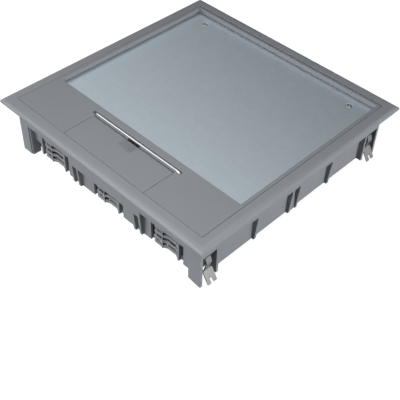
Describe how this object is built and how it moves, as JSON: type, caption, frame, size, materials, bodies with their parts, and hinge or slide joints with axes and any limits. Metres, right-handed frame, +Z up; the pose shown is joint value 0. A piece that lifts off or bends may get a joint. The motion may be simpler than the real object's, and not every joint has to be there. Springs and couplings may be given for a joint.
{
  "type": "floor socket box",
  "caption": "Square in-floor socket box with a hinged recessed lid, cable flap, pull handle, corner clamps and clip-in device trays.",
  "frame": {"origin": "centre of the footprint, on the plane of the feet", "axes": "+Z up out of the floor, -Y towards the cable flap and pull handle, +Y towards the lid hinge"},
  "size_m": [0.264, 0.264, 0.061],
  "materials": {
    "frame_plastic": "fine-grained grey moulded plastic",
    "lid_plastic": "fine-grained grey moulded plastic",
    "flap_plastic": "fine-grained grey moulded plastic",
    "ladder_plastic": "grey moulded plastic",
    "galvanised_plate": "galvanised sheet with a soft satin bloom",
    "bright_wire": "bright drawn stainless wire",
    "zinc_steel": "bright zinc-plated steel",
    "tray_plastic": "dark grey moulded plastic",
    "insert_plastic": "smooth off-white plastic",
    "contact_brass": "bright stamped contact strip"
  },
  "bodies": {
    "frame": {"floor_frame": "frame_plastic", "lid_pins": "zinc_steel", "claw_pins": "zinc_steel", "ladder_front_left": "ladder_plastic", "ladder_front_middle": "ladder_plastic", "ladder_front_right": "ladder_plastic", "ladder_back_left": "ladder_plastic", "ladder_back_middle": "ladder_plastic", "ladder_back_right": "ladder_plastic", "device_tray_left": "tray_plastic", "tray_cover_left": "tray_plastic", "socket_left_1": "insert_plastic", "socket_left_2": "insert_plastic", "socket_left_3": "insert_plastic", "data_outlet_left": "insert_plastic", "earth_clips_left": "contact_brass", "device_tray_middle": "tray_plastic", "tray_cover_middle": "tray_plastic", "socket_middle_1": "insert_plastic", "socket_middle_2": "insert_plastic", "socket_middle_3": "insert_plastic", "data_outlet_middle": "insert_plastic", "earth_clips_middle": "contact_brass", "device_tray_right": "tray_plastic", "tray_cover_right": "tray_plastic", "socket_right_1": "insert_plastic", "socket_right_2": "insert_plastic", "socket_right_3": "insert_plastic", "data_outlet_right": "insert_plastic", "earth_clips_right": "contact_brass"},
    "lid": {"lid": "lid_plastic", "lid_plate": "galvanised_plate", "plate_screws": "zinc_steel", "flap_pins": "zinc_steel"},
    "flap": {"cable_flap": "flap_plastic"},
    "handle": {"bail": "bright_wire", "bail_clips": "zinc_steel"},
    "screw_front_left": {"clamp_screw_front_left": "zinc_steel"},
    "nut_front_left": {"clamp_nut_front_left": "zinc_steel"},
    "claw_front_left": {"clamp_claw_front_left": "zinc_steel"},
    "screw_front_right": {"clamp_screw_front_right": "zinc_steel"},
    "nut_front_right": {"clamp_nut_front_right": "zinc_steel"},
    "claw_front_right": {"clamp_claw_front_right": "zinc_steel"},
    "screw_back_left": {"clamp_screw_back_left": "zinc_steel"},
    "nut_back_left": {"clamp_nut_back_left": "zinc_steel"},
    "claw_back_left": {"clamp_claw_back_left": "zinc_steel"},
    "screw_back_right": {"clamp_screw_back_right": "zinc_steel"},
    "nut_back_right": {"clamp_nut_back_right": "zinc_steel"},
    "claw_back_right": {"clamp_claw_back_right": "zinc_steel"}
  },
  "joints": [
    {"name": "lid_hinge", "type": "hinge", "parent": "frame", "child": "lid", "pos_m": [0, 0.1177, 0.059], "axis": [-1, 0, 0], "range_deg": [0, 100]},
    {"name": "flap_hinge", "type": "hinge", "parent": "lid", "child": "flap", "pos_m": [0, -0.0865, 0.059], "axis": [-1, 0, 0], "range_deg": [0, 90]},
    {"name": "handle_lift", "type": "slide", "parent": "lid", "child": "handle", "axis": [0, 0, 1], "range_m": [0, 0.0195]},
    {"name": "nut_climb_front_left", "type": "slide", "parent": "frame", "child": "nut_front_left", "axis": [0, 0, 1], "range_m": [-0.00147, 0.00196]},
    {"name": "screw_turn_front_left", "type": "hinge", "parent": "frame", "child": "screw_front_left", "pos_m": [-0.1132, -0.11075, 0.046], "axis": [0, 0, -1], "range_deg": [-760, 1012]},
    {"name": "claw_swing_front_left", "type": "hinge", "parent": "frame", "child": "claw_front_left", "pos_m": [-0.1146, -0.11075, 0.04], "axis": [0, 1, 0], "range_deg": [-6.1, 8.1]},
    {"name": "nut_climb_front_right", "type": "slide", "parent": "frame", "child": "nut_front_right", "axis": [0, 0, 1], "range_m": [-0.00147, 0.00196]},
    {"name": "screw_turn_front_right", "type": "hinge", "parent": "frame", "child": "screw_front_right", "pos_m": [0.1132, -0.11075, 0.046], "axis": [0, 0, -1], "range_deg": [-760, 1012]},
    {"name": "claw_swing_front_right", "type": "hinge", "parent": "frame", "child": "claw_front_right", "pos_m": [0.1146, -0.11075, 0.04], "axis": [0, -1, 0], "range_deg": [-6.1, 8.1]},
    {"name": "nut_climb_back_left", "type": "slide", "parent": "frame", "child": "nut_back_left", "axis": [0, 0, 1], "range_m": [-0.00147, 0.00196]},
    {"name": "screw_turn_back_left", "type": "hinge", "parent": "frame", "child": "screw_back_left", "pos_m": [-0.1132, 0.11075, 0.046], "axis": [0, 0, -1], "range_deg": [-760, 1012]},
    {"name": "claw_swing_back_left", "type": "hinge", "parent": "frame", "child": "claw_back_left", "pos_m": [-0.1146, 0.11075, 0.04], "axis": [0, 1, 0], "range_deg": [-6.1, 8.1]},
    {"name": "nut_climb_back_right", "type": "slide", "parent": "frame", "child": "nut_back_right", "axis": [0, 0, 1], "range_m": [-0.00147, 0.00196]},
    {"name": "screw_turn_back_right", "type": "hinge", "parent": "frame", "child": "screw_back_right", "pos_m": [0.1132, 0.11075, 0.046], "axis": [0, 0, -1], "range_deg": [-760, 1012]},
    {"name": "claw_swing_back_right", "type": "hinge", "parent": "frame", "child": "claw_back_right", "pos_m": [0.1146, 0.11075, 0.04], "axis": [0, -1, 0], "range_deg": [-6.1, 8.1]}
  ],
  "couplings": [
    {"joint": "screw_turn_front_left", "follows": "nut_climb_front_left", "rad_per_m": 8976},
    {"joint": "claw_swing_front_left", "follows": "nut_climb_front_left", "rad_per_m": 71.8},
    {"joint": "screw_turn_front_right", "follows": "nut_climb_front_right", "rad_per_m": 8976},
    {"joint": "claw_swing_front_right", "follows": "nut_climb_front_right", "rad_per_m": 71.8},
    {"joint": "screw_turn_back_left", "follows": "nut_climb_back_left", "rad_per_m": 8976},
    {"joint": "claw_swing_back_left", "follows": "nut_climb_back_left", "rad_per_m": 71.8},
    {"joint": "screw_turn_back_right", "follows": "nut_climb_back_right", "rad_per_m": 8976},
    {"joint": "claw_swing_back_right", "follows": "nut_climb_back_right", "rad_per_m": 71.8}
  ]
}
